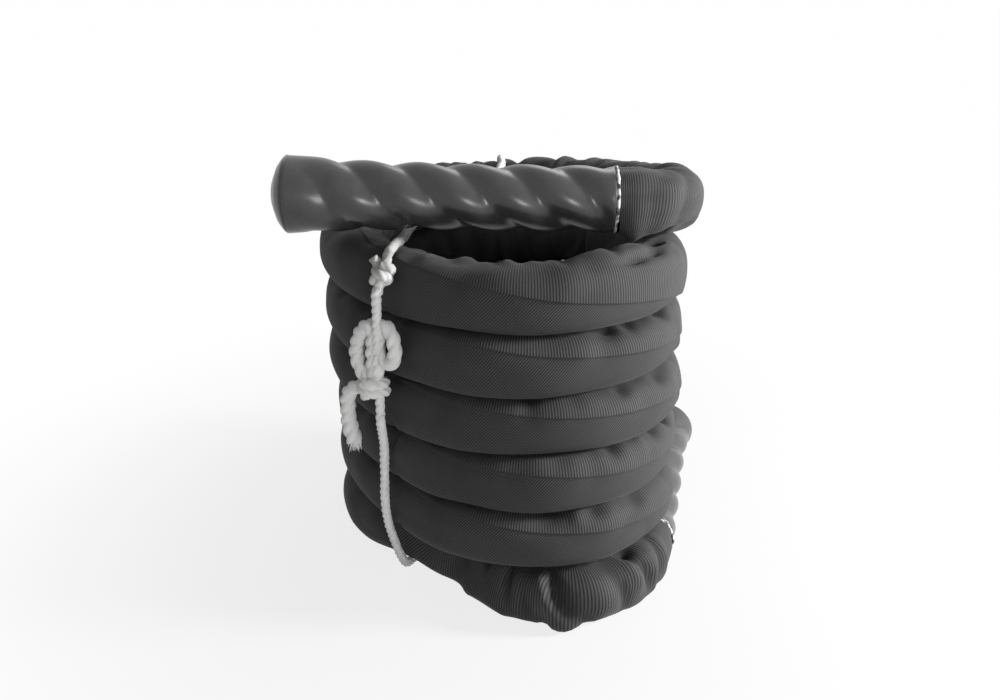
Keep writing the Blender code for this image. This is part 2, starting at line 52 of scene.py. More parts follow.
bpy.ops.object.camera_add(
    location=cameraSet["place"],
    rotation=(math.radians(90 - cameraSet["downDegrees"]), 0, 0),
)
camera = bpy.context.object
camera.name = "photoCamera"
camera.data.lens = cameraSet["lens"]
camera.data.sensor_width = 36
bpy.context.scene.camera = camera
print("camera set")


def selectOnly(*pieces):
    bpy.ops.object.select_all(action="DESELECT")
    for piece in pieces:
        piece.select_set(True)
    if pieces:
        bpy.context.view_layer.objects.active = pieces[0]


# Node helpers.
def newMaterial(name, form):
    material = bpy.data.materials.new(name)
    material.use_nodes = True
    shader = material.node_tree.nodes["Principled BSDF"]
    shader.inputs["Base Color"].default_value = (*form["colour"], 1)
    for socket in ("Roughness", "Sheen Weight", "Sheen Roughness", "Specular IOR Level"):
        if socket in form:
            shader.inputs[socket].default_value = form[socket]
    return material, material.node_tree, shader


def addNode(tree, kind, **values):
    node = tree.nodes.new("ShaderNode" + kind)
    for key, value in values.items():
        if hasattr(node, key):
            setattr(node, key, value)
        else:
            node.inputs[key.replace("_", " ")].default_value = value
    return node


# A math node whose inputs are numbers or outputs of other nodes.
def math2(tree, operation, *values, clamp=False):
    node = addNode(tree, "Math", operation=operation, use_clamp=clamp)
    for slotNumber, value in enumerate(values):
        if isinstance(value, (int, float)):
            node.inputs[slotNumber].default_value = value
        else:
            tree.links.new(value, node.inputs[slotNumber])
    return node.outputs[0]


def times(tree, first, second):
    return math2(tree, "MULTIPLY", first, second)


def ramp(tree, value, stops):
    node = addNode(tree, "ValToRGB")
    tree.links.new(value, node.inputs[0])
    while len(node.color_ramp.elements) < len(stops):
        node.color_ramp.elements.new(0.5)
    for element, (place, colour) in zip(node.color_ramp.elements, stops):
        element.position = place
        element.color = (*colour, 1)
    return node.outputs[0]


# Limits are the range that goes in and the range that comes out.
def mapRange(tree, value, limits, kind="LINEAR"):
    node = addNode(tree, "MapRange", interpolation_type=kind)
    for socket, limit in zip(("From Min", "From Max", "To Min", "To Max"), limits):
        node.inputs[socket].default_value = limit
    tree.links.new(value, node.inputs["Value"])
    return node.outputs[0]


def objectPlace(tree):
    return addNode(tree, "TexCoord").outputs["Object"]


def noiseAt(tree, place, scale, detail):
    noise = addNode(tree, "TexNoise", Scale=scale, Detail=detail)
    tree.links.new(place, noise.inputs["Vector"])
    return noise.outputs[0]


def markShare(tree, label):
    return addNode(tree, "Attribute", attribute_name=label).outputs["Fac"]


def setColour(tree, shader, value, stops):
    tree.links.new(ramp(tree, value, stops), shader.inputs["Base Color"])


def setBump(tree, shader, height, strength, distance):
    bump = addNode(tree, "Bump", Strength=strength, Distance=distance)
    tree.links.new(height, bump.inputs["Height"])
    tree.links.new(bump.outputs[0], shader.inputs["Normal"])


# 1 on a thin line round a value and 0 away from it.
def lineAt(tree, value, centre, half):
    away = math2(tree, "ABSOLUTE", math2(tree, "SUBTRACT", value, centre))
    return math2(tree, "SUBTRACT", 1.0, math2(tree, "DIVIDE", away, half), clamp=True)


# 1 between two values, with soft sides.
def stripShare(tree, value, low, high, softLow, softHigh):
    rising = math2(tree, "DIVIDE", math2(tree, "SUBTRACT", value, low), softLow, clamp=True)
    falling = math2(tree, "DIVIDE", math2(tree, "SUBTRACT", high, value), softHigh, clamp=True)
    return times(tree, rising, falling)


# The woven sleeve: ribs across the rope, each made of slanting picks.
sleeveWeave = {
    "ribPitch": 0.0021, "pickPitch": 0.0015, "pickSlant": 0.5, "pickShare": 0.45,
    "dark": (0.0136, 0.0136, 0.0144), "colour": (0.075, 0.075, 0.077), "lightAt": 0.85,
    "bump": (0.55, 0.00028), "Roughness": 0.80, "Sheen Weight": 0.06,
    "Sheen Roughness": 0.35, "Specular IOR Level": 0.25, "wear": (14.0, 4.0),
    "wearTone": (0.5, 0.75), "creaseLine": (-0.0006, 0.0010), "creaseShade": 0.55,
    "belowStrip": (-0.045, 0.0, 0.010, 0.0012), "belowShade": 0.18, "hollowShade": 0.75,
}


def makeSleeveFabric():
    form = sleeveWeave
    material, tree, shader = newMaterial("sleeveFabric", form)
    cloth = addNode(tree, "UVMap", uv_map="clothMap")
    split = addNode(tree, "SeparateXYZ")
    tree.links.new(cloth.outputs[0], split.inputs[0])
    along, around = split.outputs[0], split.outputs[1]
    ribTurn = times(tree, along, 2 * math.pi / form["ribPitch"])
    pickTurn = times(tree, around, 2 * math.pi / form["pickPitch"])
    slanted = math2(tree, "ADD", pickTurn, times(tree, ribTurn, form["pickSlant"]))
    waves = [math2(tree, "SINE", wave) for wave in (ribTurn, slanted)]
    rib, pick = (math2(tree, "MULTIPLY_ADD", wave, 0.5, 0.5) for wave in waves)
    picks = math2(tree, "MULTIPLY_ADD", pick, form["pickShare"], 1 - form["pickShare"])
    weave = times(tree, rib, picks)
    # Worn and dusty places are a little paler; painted shade darkens the crease line, a strip below the
    # crease and the hollows.
    tone = math2(tree, "MULTIPLY_ADD", noiseAt(tree, objectPlace(tree), *form["wear"]), *form["wearTone"])
    crease = markShare(tree, "creaseShare")
    for share, most in (
        (times(tree, lineAt(tree, around, *form["creaseLine"]), crease), "creaseShade"),
        (times(tree, stripShare(tree, around, *form["belowStrip"]), crease), "belowShade"),
        (markShare(tree, "hollowShadeMask"), "hollowShade"),
    ):
        shaded = math2(tree, "SUBTRACT", 1.0, times(tree, share, form[most]))
        tone = times(tree, tone, shaded)
    value = times(tree, weave, tone)
    setColour(tree, shader, value, [(0.0, form["dark"]), (form["lightAt"], form["colour"])])
    setBump(tree, shader, weave, *form["bump"])
    return material


# The heat-shrunk tube on the grips: smooth, black and half glossy.
gripFinish = {
    "colour": (0.024, 0.024, 0.025), "Roughness": 0.25, "bump": (0.25, 0.0006),
    "cloud": (22.0, 5.0), "cloudRough": (0.22, 0.17), "dust": (60.0, 8.0),
    "dustStops": (0.3, 0.8), "tube": (0.034, 0.056), "cap": (0.008, 0.015),
}


def makeGripRubber(name, tones):
    material, tree, shader = newMaterial(name, gripFinish)
    place = objectPlace(tree)
    cloud = noiseAt(tree, place, *gripFinish["cloud"])
    rough = math2(tree, "MULTIPLY_ADD", cloud, *gripFinish["cloudRough"])
    tree.links.new(rough, shader.inputs["Roughness"])
    dust = noiseAt(tree, place, *gripFinish["dust"])
    setColour(tree, shader, dust, [(at, (tone,) * 3) for at, tone in zip(gripFinish["dustStops"], tones)])
    setBump(tree, shader, cloud, *gripFinish["bump"])
    return material


# The tie's fibre. Beside the top grip, where the light is strongest, painted shade makes it greyer, and less
# so on the strand behind the coil.
tieFibre = {
    "colour": (0.8, 0.8, 0.79), "Roughness": 0.75, "Sheen Weight": 0.1,
    "stretch": (120.0, 2600.0, 1.0), "detail": 3.0,
    "paintedShadeByHeight": (0.314, 0.34, 1.0, 0.0), "paintedShadeBehind": 0.32,
    "tones": [(0.0, (0.36, 0.36, 0.35)), (0.25, (0.78, 0.78, 0.77)), (0.75, (0.95, 0.95, 0.94))],
    "bump": (0.5, 0.0004),
}


def makeCordFibre():
    material, tree, shader = newMaterial("tieFibre", tieFibre)
    cloth = addNode(tree, "UVMap", uv_map="clothMap")
    stretch = addNode(tree, "Mapping", Scale=tieFibre["stretch"])
    tree.links.new(cloth.outputs[0], stretch.inputs[0])
    fibre = noiseAt(tree, stretch.outputs[0], 1.0, tieFibre["detail"])
    split = addNode(tree, "SeparateXYZ")
    tree.links.new(objectPlace(tree), split.inputs[0])
    # Painted shade: above a height the fibre is greyed, and behind the coil less so.
    pale = mapRange(tree, split.outputs["Z"], tieFibre["paintedShadeByHeight"])
    behind = math2(tree, "GREATER_THAN", split.outputs["Y"], 0.0)
    pale = math2(tree, "MAXIMUM", pale, times(tree, behind, tieFibre["paintedShadeBehind"]))
    setColour(tree, shader, times(tree, fibre, pale), tieFibre["tones"])
    setBump(tree, shader, fibre, *tieFibre["bump"])
    return material


# The bead of glue at a grip's cuff: pale, with dark patches where it is worn off.
glueBead = {
    "colour": (0.70, 0.69, 0.66),
    "Roughness": 0.45,
    "patches": (180.0, 4.0),
    "tones": [(0.42, (0.03, 0.03, 0.03)), (0.54, (0.74, 0.73, 0.70))],
    "along": 0.0017,
    "sizes": {"major_radius": 0.0282, "minor_radius": 0.0014, "major_segments": 144, "minor_segments": 14},
    "runScale": 0.006,
    "runDepth": 0.0016,
}


def makeGlue():
    material, tree, shader = newMaterial("glueBead", glueBead)
    setColour(tree, shader, noiseAt(tree, objectPlace(tree), *glueBead["patches"]), glueBead["tones"])
    return material


sleeveFabric = makeSleeveFabric()
gripRubber = makeGripRubber("gripTube", gripFinish["tube"])
capRubber = makeGripRubber("gripCap", gripFinish["cap"])
cordFibre = makeCordFibre()
glueMatter = makeGlue()
print("materials made")


# How the rope lies. Its turns are counted from the left side of the top turn.
ropeLay = {
    "coilRadius": 0.147, "place": Vector((-0.0173, -0.0007, 0.0)), "sleeve": 0.0566,
    "pitch": 0.0573, "perTurn": 24, "firstTurn": -10 / 24, "lastTurn": 5.0,
    "wide": (-0.0204, -0.0136), "slant": (-0.119, -0.0170), "riseOverGrip": 0.01409,
    "riseAtTop": 0.0055, "highTurn": (0.04, 0.46), "settlePerTurn": 0.0020,
    "settledTurn": 2.583, "footShare": 0.45, "headShare": 0.3,
    "topCuffShares": (0.36, 0.015), "floorCuffShare": 0.2, "riseOverTie": 0.0100,
    "tailOverTie": (0.0100, 0.015, 0.035), "coilFlat": 0.02647, "tailFlat": 0.02719,
    "tieTurn": 0.135, "tieTopTurn": 0.151, "gripCrossing": 0.09,
}
topGrip = {"cuff": Vector((0.104, -0.077, 0.38379)), "length": 0.2915}
topGrip["heading"] = Vector((-1, 0, 0.016)).normalized()
floorGrip = {"cuff": Vector((0.1485, -0.0780, 0.0305)), "length": 0.246, "turnDegrees": 13.06, "rise": 0.004}
tieCord = {
    "thick": 0.0084, "clearance": 0.0004, "lay": 0.021, "around": 24, "step": 0.0011, "loopStep": 0.0014,
}

bendRoute = [(0.946, -0.466), (1.048, -0.333), (1.092, -0.177)]
tailRoute = [
    (-0.782, -0.299), (-0.660, -0.408), (-0.503, -0.497), (-0.367, -0.571), (-0.218, -0.670),
    (-0.054, -0.782), (0.109, -0.946), (0.272, -1.082), (0.449, -1.136), (0.633, -1.075),
]
floorBendRoute = [(0.789, -0.946), (0.905, -0.782)]


def onPlan(shares, height=0.0):
    return [Vector((x * ropeLay["coilRadius"], y * ropeLay["coilRadius"], height)) for x, y in shares]


def coilPoint(turn):
    lay = ropeLay
    angle = 2 * math.pi * turn
    away = turn - lay["lastTurn"] / 2
    wide = (lay["wide"][0] + lay["wide"][1] * away) * math.cos(2 * angle)
    slant = (lay["slant"][0] + lay["slant"][1] * away) * math.sin(2 * angle)
    radius = lay["coilRadius"] * (1 + wide + slant)
    height = lay["sleeve"] / 2 + lay["pitch"] * (lay["lastTurn"] - turn)
    height += lay["riseOverGrip"] * (1 - math.cos(angle))
    fromHigh = min(abs(turn - lay["highTurn"][0]) / lay["highTurn"][1], 1)
    height += lay["riseAtTop"] * (1 + math.cos(math.pi * fromHigh)) / 2
    height -= lay["settlePerTurn"] * max(lay["settledTurn"] - turn, 0) * (1 - math.cos(angle)) / 2
    if turn < lay["lastTurn"] - 0.5:
        lower = min(max(turn / (lay["lastTurn"] - 1), 0), 1)
        height += lay["riseOverTie"] * lower * (1 + math.cos(angle)) / 2
    else:
        # The last half turn comes down to where it lies flat on the floor.
        settled = 1 + 2 * (turn - lay["lastTurn"])
        height += (lay["coilFlat"] - lay["sleeve"] / 2) * settled * settled
    return Vector((-radius * math.cos(angle), -radius * math.sin(angle), height))


# How far along a line each of its points is.
def runOf(points):
    return np.concatenate([[0], np.cumsum(np.linalg.norm(np.diff(points, axis=0), axis=1))])


# Even steps along a smooth curve through the points.
def smoothWay(points, step):
    ends = [2 * points[0] - points[1], *points, 2 * points[-1] - points[-2]]
    fine = []
    for before, start, stop, after in zip(ends, ends[1:], ends[2:], ends[3:]):
        for i in range(16):
            u = i / 16
            bent = 2 * start + (stop - before) * u
            bent += (2 * before - 5 * start + 4 * stop - after) * u * u
            bent += (3 * start - before - 3 * stop + after) * u ** 3
            fine.append(bent / 2)
    fine.append(points[-1])
    fine = np.array([tuple(p) for p in fine])
    run = runOf(fine)
    count = max(2, round(run[-1] / step))
    want = np.linspace(0, run[-1], count + 1)
    return np.stack([np.interp(want, run, fine[:, k]) for k in range(3)], axis=1)


def smoothStep(value):
    value = min(max(value, 0), 1)
    return value * value * (3 - 2 * value)


# The cord's line over the floor, which the tail passes over.
frontLow = coilPoint(4 + ropeLay["tieTurn"])
tieOut = Vector((frontLow.x, frontLow.y, 0)).normalized()
tieReach = ropeLay["sleeve"] / 2 * 1.08 + tieCord["clearance"] + tieCord["thick"] / 2
frontLow = frontLow + tieOut * tieReach
backLow = coilPoint(4.75)
floorBack = Vector((-0.007, backLow.y, 0))
floorFront = Vector((frontLow.x, frontLow.y, 0))
underWay = (floorFront - floorBack).normalized()

floorTurned = math.radians(floorGrip["turnDegrees"])
floorHeading = Vector((math.sin(floorTurned), math.cos(floorTurned), 0))
floorRise = floorGrip["rise"] / floorGrip["length"]
floorGrip["heading"] = Vector((floorHeading.x, floorHeading.y, floorRise)).normalized()


def nearestRow(points, place):
    return int(np.argmin(np.linalg.norm(points - np.array(tuple(place)), axis=1)))


# Centres of the whole sleeve from cuff to cuff, each one's turn, and where the pieces part.
def ropeRoute(step):
    lay = ropeLay
    sleeve = lay["sleeve"]
    count = round((lay["lastTurn"] - lay["firstTurn"]) * lay["perTurn"])
    turns = [lay["firstTurn"] + i / lay["perTurn"] for i in range(count + 1)]
    coil = [coilPoint(t) for t in turns]
    head = coil[0] + (coil[0] - coil[1]).normalized() * sleeve
    foot = coilPoint(lay["lastTurn"] + 1 / lay["perTurn"]) - coil[-1]
    foot.z = 0
    end = coil[-1] + foot.normalized() * sleeve * lay["footShare"]
    cuff = topGrip["cuff"]
    into = (coil[0] - head).normalized()
    ahead, aside = lay["topCuffShares"]
    way = [cuff, cuff + Vector((sleeve * ahead, sleeve * aside, 0))]
    for i, point in enumerate(onPlan(bendRoute, cuff.z)):
        way.append(point + Vector((0, 0, (head.z - cuff.z) * (i + 1) / 4)))
    way.append(head - into * sleeve * lay["headShare"])
    bendCount = len(way)
    way += [head, *coil, end]
    coilEnd = len(way) - 1
    rise, near, far = lay["tailOverTie"]
    for point in onPlan(tailRoute, lay["tailFlat"]):
        aside = abs((point - floorBack).cross(underWay).z)
        if point.x < 0:
            point.z += rise * (1 - smoothStep((aside - near) / far))
        way.append(point)
    split = len(way)
    way += onPlan(floorBendRoute, lay["tailFlat"])
    cuff = floorGrip["cuff"]
    way += [cuff - floorHeading * sleeve * lay["floorCuffShare"], cuff]
    points = smoothWay(way, step)
    for _ in range(6):
        points[1:-1] = (points[:-2] + 2 * points[1:-1] + points[2:]) / 4
    cuts = [nearestRow(points, way[i]) for i in (bendCount, coilEnd, split)]
    run = runOf(points)
    # Between the marks the turn follows the run of the coil.
    nearest = [nearestRow(points, p) for p in coil]
    turn = np.interp(run, run[nearest], turns)
    perTurn = 2 * math.pi * lay["coilRadius"]
    turn = np.where(run < run[nearest[0]], turns[0] - (run[nearest[0]] - run) / perTurn, turn)
    turn = np.where(run > run[nearest[-1]], turns[-1] + (run - run[nearest[-1]]) / perTurn, turn)
    return points, run, turn, cuts


def unit(vectors):
    return vectors / np.linalg.norm(vectors, axis=-1, keepdims=True)


# The side and the upward direction at each centre.
def ringFrames(points):
    ahead = unit(np.gradient(points, axis=0))
    side = unit(np.cross(ahead, [0, 0, 1]))
    return side, np.cross(side, ahead)


# Rings of points round a line, at angles and distances given as rows and columns.
def ringsRound(points, distance, angle, side, upward):
    across = np.cos(angle)[:, :, None] * side[:, None] + np.sin(angle)[:, :, None] * upward[:, None]
    return points[:, None] + distance[:, :, None] * across


# The corners of each face of a grid that closes round itself, with its last column one turn on.
def faceCorners(values, turned=0):
    after = np.roll(values, -1, axis=1)
    after[:, -1] += turned
    return np.stack([values[:-1], after[:-1], after[1:], values[1:]], axis=-1)


# Smooth noise of unit size on a grid that closes round the rope.
def softNoise(shape, spacing, scale, seed):
    rough = np.random.default_rng(seed).standard_normal(shape)
    along = np.fft.fftfreq(shape[0], spacing[0])[:, None] * scale[0]
    around = np.fft.fftfreq(shape[1], spacing[1])[None, :] * scale[1]
    kept = np.fft.ifft2(np.fft.fft2(rough) * np.exp(-2 * math.pi ** 2 * (along ** 2 + around ** 2))).real
    return kept / kept.std()


# A tube through the rings of a grid, with its cloth map.
def gridMesh(name, grid, mapU, mapV, turnV, material, normals=None, closeEnds=False, marks=()):
    rows, columns = grid.shape[:2]
    index = np.arange(rows * columns).reshape(rows, columns)
    vertices = grid.reshape(-1, 3) + np.array(ropeLay["place"])
    vertices[:, 2] = np.maximum(vertices[:, 2], 0.0002)
    mesh = bpy.data.meshes.new(name)
    faces = faceCorners(index).reshape(-1, 4).tolist()
    if closeEnds:
        faces += [index[0][::-1].tolist(), index[-1].tolist()]
    mesh.from_pydata(vertices.tolist(), [], faces)
    layer = mesh.uv_layers.new(name="clothMap")
    places = np.stack([faceCorners(mapU), faceCorners(mapV, turnV)], axis=-1).reshape(-1)
    flat = np.zeros(len(mesh.loops) * 2)
    flat[:len(places)] = places
    layer.data.foreach_set("uv", flat)
    for label, shares in marks:
        mesh.attributes.new(label, "FLOAT", "POINT").data.foreach_set("value", shares.reshape(-1))
    mesh.polygons.foreach_set("use_smooth", [True] * len(mesh.polygons))
    if normals is not None:
        mesh.normals_split_custom_set_from_vertices(normals.reshape(-1, 3).tolist())
    piece = bpy.data.objects.new(name, mesh)
    bpy.context.scene.collection.objects.link(piece)
    piece.data.materials.append(material)
    return piece


def gridNormals(grid):
    alongWay = np.gradient(grid, axis=0)
    aroundWay = np.roll(grid, -1, axis=1) - np.roll(grid, 1, axis=1)
    return unit(np.cross(aroundWay, alongWay))


# The sleeve is looser than the rope in it: it puckers inside each turn, and its spare width
# lies in one long crease that winds round the rope once in each turn.
sleeveForm = {
    "step": 0.0039, "halfWidth": 0.0288, "freeHeight": 0.0284, "mostOut": 0.0388,
    "leastOut": 0.012, "fullness": (2.25, 0.65, 0.55), "swell": 0.0010, "pucker": 0.0028,
    "flute": 0.0010, "wrinkle": 0.0005, "tuck": 0.0022, "creaseHeight": 0.0010,
    "creaseStep": 0.0015, "creaseTop": 28.0, "creaseLower": 37.0, "creaseSway": 25.0,
    "creaseEnd": 5.1, "skew": 0.72, "skewDegrees": 105, "gather": 0.0012,
    "gatherRun": 0.022, "gluedRun": 0.0075, "tieMarks": ((0.142, 0.010), (0.749, 0.006)),
    "tieSpan": (-95, 120, 6), "tiedOut": 0.0284, "freeMore": 0.02, "hollowRows": 6,
    "hollowDepth": 0.0028, "cuffWeave": 0.32, "cuffRun": 0.10, "underGrip": 0.0297,
    "underFlare": 0.0052, "noiseColumns": 96,
}

# Folds placed one by one: turn, degrees round the rope (0 outwards, 90 up), half length in mm, half
# spread in degrees, height in mm, and for some a lean in mm for a degree.
handFolds = {
    "underTheCuff": [
        (0.34, 88, 24, 36, 10), (0.378, 88, 20, 32, 10), (0.353, 100, 4.5, 26, -3.8, 0.1),
        (0.366, 62, 13, 8, -9), (0.394, 64, 9, 8, -8), (0.364, 55, 10, 6, 1.4), (0.389, 58, 9, 6, 1.4),
        (0.42, 84, 15, 10, -8), (0.432, 66, 14, 8, 1.2), (0.308, 84, 4, 24, -1.6), (0.322, 60, 10, 12, -1.2),
    ],
    "topEdge": [
        (0.165, 72, 6, 20, -2.2), (0.178, 84, 5, 20, 1.6), (0.146, 92, 12, 22, 1.6), (0.205, 88, 8, 18, -1.2),
        (0.262, 90, 9, 18, 1), (0.1, 80, 10, 14, -1.6), (-0.19, 92, 46, 55, 6.8),
        (-0.207, 88, 5, 40, -2.4, 0.1), (-0.163, 88, 5, 40, -2, 0.1),
    ],
    "pockets": [
        (1.04, 60, 14, 26, -2.5), (1.157, 78, 9, 22, -3), (1.208, 84, 7, 22, -2.2), (1.254, 86, 6, 24, -2.4),
        (1.341, 72, 8, 20, -4.7), (1.362, 68, 5, 20, -4), (1.404, 68, 9, 20, -6.5), (1.421, 62, 5, 12, 2.2),
        (2.139, 66, 9, 22, -2.6), (2.238, 74, 6, 22, -2.2), (2.277, 68, 6, 30, -3.6), (2.352, 60, 6, 20, -4),
        (2.397, 50, 12, 20, -5.6), (2.31, 62, 8, 30, -1.9), (3.13, 74, 8, 22, -2.4), (3.192, 76, 8, 22, -2),
        (3.3, 66, 9, 32, -1.4), (3.343, 66, 7, 28, -5.3), (3.368, 54, 5, 30, 1.9), (3.39, 60, 8, 22, -5.3),
        (3.419, 60, 9, 20, -8.1), (3.246, 66, 7, 26, -1), (4.13, 62, 9, 22, -2.6), (4.192, 70, 8, 22, -2.2),
        (4.293, 68, 14, 24, -5), (4.328, 60, 9, 22, -5.6), (4.371, 52, 9, 22, -3.4), (4.312, 52, 4, 20, 1.9),
    ],
    "rightNubs": [
        (0.432, -32, 9, 11, 1.2), (0.443, -46, 8, 12, -2.2), (1.432, -28, 8, 10, 2), (1.446, -44, 7, 9, -2),
        (2.436, -34, 8, 12, 1.6), (1.42, 10, 7, 30, -1), (2.42, 20, 6, 26, -1),
    ],
    "cuffOfTopGrip": [
        (-0.62, -74, 11, 42, 9.2), (-0.586, -62, 9, 30, -6), (-0.56, 30, 12, 50, 1.4, 0.2),
        (-0.585, 40, 8, 40, -1, 0.2), (-0.53, 10, 10, 50, -1.2, -0.1), (-0.562, -48, 16, 26, -8),
        (-0.596, 10, 6, 55, 2.4, 0.1), (-0.583, 14, 5.5, 55, -2.4, 0.1), (-0.609, 0, 5, 55, -1.8),
        (-0.545, 88, 10, 30, 1.6),
    ],
    "tailPleats": [
        (5.19, -38, 14, 34, 9.2), (5.226, -34, 24, 36, 9.8), (5.289, -46, 9.5, 24, 4.2),
        (5.242, 34, 4.4, 42, -8.8, -0.1), (5.212, 50, 5, 26, -7, -0.1), (5.261, 14, 4.8, 46, -3.6, -0.1),
        (5.275, 32, 4.6, 44, 5.6, -0.17), (5.2845, 32, 4.8, 42, -10, -0.17), (5.322, -40, 22, 30, -5),
        (5.276, -36, 3.6, 22, -4.5), (5.316, 18, 12, 42, 4.8, -0.1), (5.335, 10, 4.6, 44, -5, -0.1),
        (5.357, 84, 9, 20, -8.4), (5.348, 46, 4.6, 46, 5.1, -0.1), (5.364, 28, 4.2, 42, -6.8, -0.12),
        (5.378, 20, 6, 60, 3.9), (5.392, 30, 3.6, 60, -3.6, 0.1), (5.402, 10, 5, 70, 3.3),
        (5.18, 30, 10, 30, -3, -0.1), (5.304, -30, 4, 30, -3.3), (5.15, 20, 12, 40, 2.1),
    ],
}

centres, run, turn, cuts = ropeRoute(sleeveForm["step"])
side, upward = ringFrames(centres)
rows = len(centres)

# Columns lie closer beside the crease than across the rope.
halfColumns = [[0, 1.4, 3.4, 6.4], np.linspace(11.8, 110, 18), np.linspace(119, 171, 7), [180]]
halfColumns = np.radians(np.concatenate(halfColumns))
fromCrease = np.concatenate([-halfColumns[:0:-1], halfColumns[:-1]])
columns = len(fromCrease)


def creaseWay(turns):
    away = turns - np.floor(turns) - 0.25
    lower = np.clip(turns - 0.45, 0, 0.2) / 0.2
    start = sleeveForm["creaseTop"] * (1 - lower) + sleeveForm["creaseLower"] * lower
    sway = sleeveForm["creaseSway"] * (0.2 + 0.8 * lower) * np.sin(2 * math.pi * away)
    return np.radians(start - 360 * (turns - 0.25) + sway)


def halfTurned(angle):
    return (angle + math.pi) % (2 * math.pi) - math.pi


# Past its end the crease winds more slowly.
creaseEnd = sleeveForm["creaseEnd"]
creasePlace = creaseWay(np.where(turn > creaseEnd, creaseEnd + (turn - creaseEnd) * 0.3, turn))
phi = creasePlace[:, None] + fromCrease
wrapped = halfTurned(phi)
fineColumns = sleeveForm["noiseColumns"]
spacing = (sleeveForm["step"], 2 * math.pi / fineColumns)


# Noise is made on even columns and read at the columns that follow the crease.
def ropeNoise(scale, seed):
    even = softNoise((rows, fineColumns), spacing, scale, seed)
    place = (phi / (2 * math.pi) * fineColumns) % fineColumns
    first = np.floor(place).astype(int) % fineColumns
    share = place - np.floor(place)
    lines = np.arange(rows)[:, None]
    return even[lines, first] * (1 - share) + even[lines, (first + 1) % fineColumns] * share


# Half the way to the turn above and to the turn or floor below, at each centre.
def neighbourGaps():
    lay = ropeLay
    above = np.full(rows, 1.0)
    below = np.full(rows, 1.0)
    for i, t in enumerate(turn):
        if lay["firstTurn"] + 0.95 < t <= lay["lastTurn"]:
            above[i] = coilPoint(t - 1).z - centres[i, 2]
        if lay["firstTurn"] <= t < lay["lastTurn"] - 1:
            below[i] = centres[i, 2] - coilPoint(t + 1).z
    return above / 2 - 0.0001, np.minimum(below / 2 - 0.0001, centres[:, 2] - 0.0003)


# How far the plain sleeve stands off its centre line, pressed flat where turns lie on each other.
def plainSection(above, below):
    top = np.minimum(sleeveForm["freeHeight"], above)
    bottom = np.minimum(sleeveForm["freeHeight"], below)
    high = np.where(wrapped > 0, top[:, None], bottom[:, None])
    plain, inFront, atBottom = sleeveForm["fullness"]
    facing = np.clip(np.sin(2 * math.pi * turn), 0, 1)[:, None]
    power = plain + inFront * facing + atBottom * facing * (wrapped < 0)
    acrossShare = np.abs(np.cos(phi)) / sleeveForm["halfWidth"]
    highShare = np.abs(np.sin(phi)) / high
    return (acrossShare ** power + highShare ** power) ** (-1 / power)


def placedFolds():
    field = np.zeros(phi.shape)
    for turnAt, around, along, spread, height, *lean in sum(handFolds.values(), []):
        along, height, lean = along / 1000, height / 1000, sum(lean) / 1000
        at = np.interp(turnAt, turn, run)
        reach = 3 * along + abs(lean) * 3 * spread
        near = slice(*np.searchsorted(run, [at - reach, at + reach]))
        awayAround = np.degrees(halfTurned(phi[near] - math.radians(around)))
        awayAlong = run[near, None] - at - lean * awayAround
        field[near] += height * np.exp(-((awayAlong / along) ** 2) - (awayAround / spread) ** 2)
    return field


def window(value, low, high, soft):
    return 1 / (1 + np.exp(-(value - low) / soft)) / (1 + np.exp((value - high) / soft))


def sleeveWrinkles():
    form = sleeveForm
    degrees = np.degrees(wrapped)
    inside = np.clip((-np.cos(phi) + 0.10) / 0.95, 0, 1)
    onTop = window(turn, -0.6, 0.02, 0.02)[:, None] * window(degrees, 40, 150, 12)
    swell = ropeNoise((0.024, 0.6), 1) * form["swell"]
    pucker = (np.abs(ropeNoise((0.0062, 0.60), 2)) - 0.8) * form["pucker"] * np.maximum(inside, 0.9 * onTop)
    inFront = window(degrees, 12, 92, 9)
    flute = ropeNoise((0.0085, 0.75), 5) * form["flute"] * inFront
    # The top edge of each turn is tucked in, least where the front faces the viewer.
    tucked = np.clip(ropeNoise((0.0060, 0.5), 6) - 0.9, 0, 1.6) * form["tuck"]
    aside = np.clip((np.abs((turn % 1) - 0.29) - 0.15) / 0.1, 0, 1)
    tucked = tucked * window(degrees, 52, 112, 7) * (0.35 + 0.65 * aside)[:, None]
    where = np.clip(ropeNoise((0.035, 0.7), 3) * 0.6 + 0.3, 0, 1)
    small = (np.abs(ropeNoise((0.016, 0.30), 4)) - 0.8) * form["wrinkle"] * where
    creased = window(turn, -0.52, 5.12, 0.02)[:, None]
    out = np.degrees(fromCrease)
    ridge = np.clip(1 - np.abs(out) / 50, 0, 1) ** 2 * form["creaseHeight"]
    step = np.where(out < 0, -np.clip(-out / 3.4, 0, 1) * np.exp(out / 26), 0) * form["creaseStep"]
    # Under the grips' cuffs the sleeve is gathered.
    gathers = np.exp(-fromEnds[:, None] / form["gatherRun"])
    gathered = (np.abs(ropeNoise((0.020, 0.16), 8)) - 0.7) * form["gather"] * gathers
    return swell + pucker + flute - tucked + small + (ridge + step) * creased + gathered, creased


fromEnds = np.minimum(run, run[-1] - run)
above, below = neighbourGaps()
wrinkles, creased = sleeveWrinkles()
# The folds die out where the sleeve is glued under a grip.
free = np.clip(fromEnds / sleeveForm["gluedRun"], 0, 1)[:, None]
distance = plainSection(above, below) + wrinkles + placedFolds() * free

